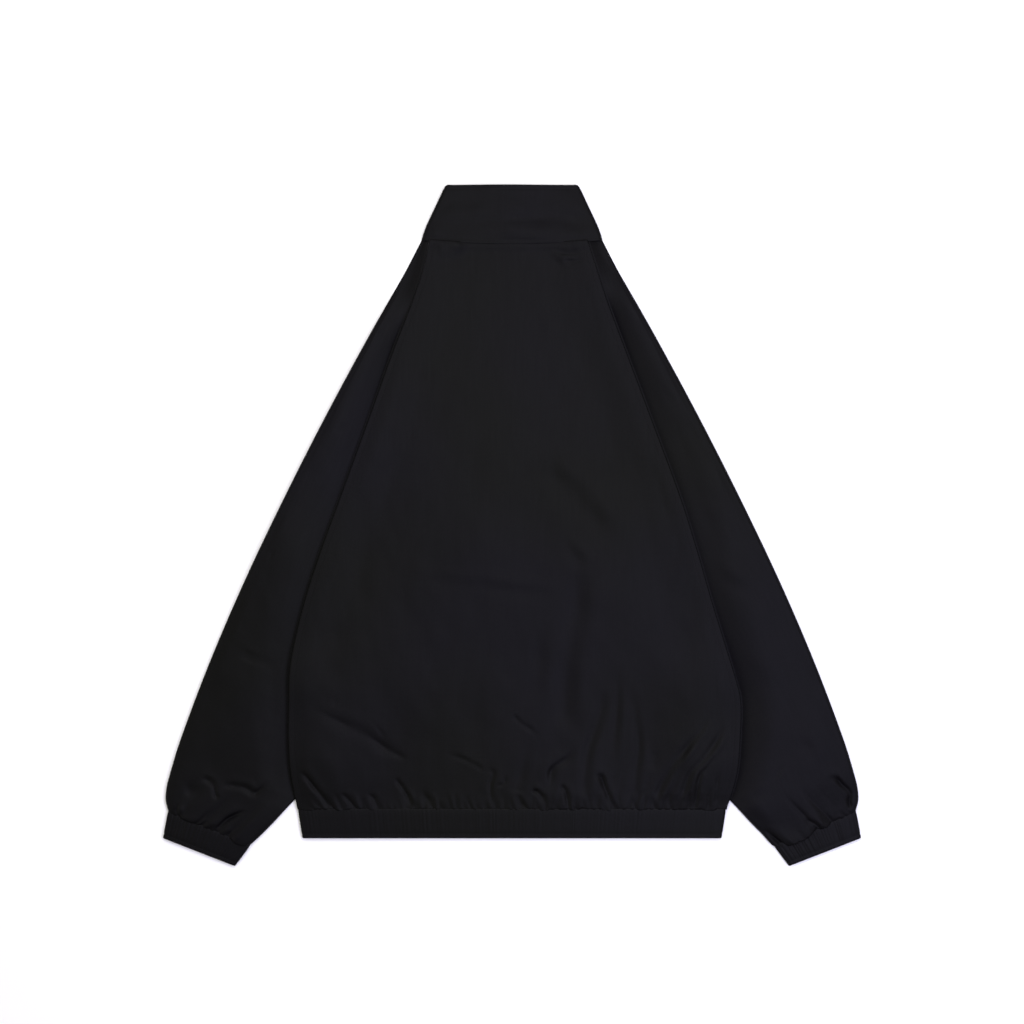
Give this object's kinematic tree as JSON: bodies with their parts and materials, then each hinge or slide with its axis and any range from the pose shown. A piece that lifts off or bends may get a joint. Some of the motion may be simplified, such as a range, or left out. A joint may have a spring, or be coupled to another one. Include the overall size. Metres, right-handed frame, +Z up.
{
  "type": "jacket",
  "caption": "Zip-front nylon track jacket with raglan sleeves, a stand collar and elasticated hem and cuffs, laid flat on its front.",
  "frame": {"origin": "under the middle of the jacket's outline, on the surface that it lies on", "axes": "+Z up, out of the jacket's back; +Y towards the collar; +X to the right as the back is seen from above"},
  "size_m": [0.8212, 0.8012, 0.0117],
  "materials": {
    "shell": "near-black woven nylon, soft satin sheen",
    "casing": "the same woven nylon gathered over elastic",
    "zip_tape": "matt woven polyester tape",
    "zip_coil": "moulded black nylon",
    "zip_metal": "black lacquered die-cast zinc"
  },
  "bodies": {
    "jacket": {"back_panel": "shell", "front_left": "shell", "front_right": "shell", "sleeve_left": "shell", "sleeve_right": "shell", "collar": "shell", "hem_band": "casing", "cuff_left": "casing", "cuff_right": "casing", "zip_tape_left": "zip_tape", "zip_tape_right": "zip_tape", "zip_chain": "zip_coil", "zip_box": "zip_coil", "zip_stop_left": "zip_metal", "zip_stop_right": "zip_metal", "zip_slider": "zip_metal"},
    "pull": {"zip_pull": "zip_metal"}
  },
  "joints": [
    {"name": "pull_swing", "type": "hinge", "parent": "jacket", "child": "pull", "pos_m": [0, 0.383, 0.0018], "axis": [1, 0, 0], "range_deg": [0, 170]}
  ]
}
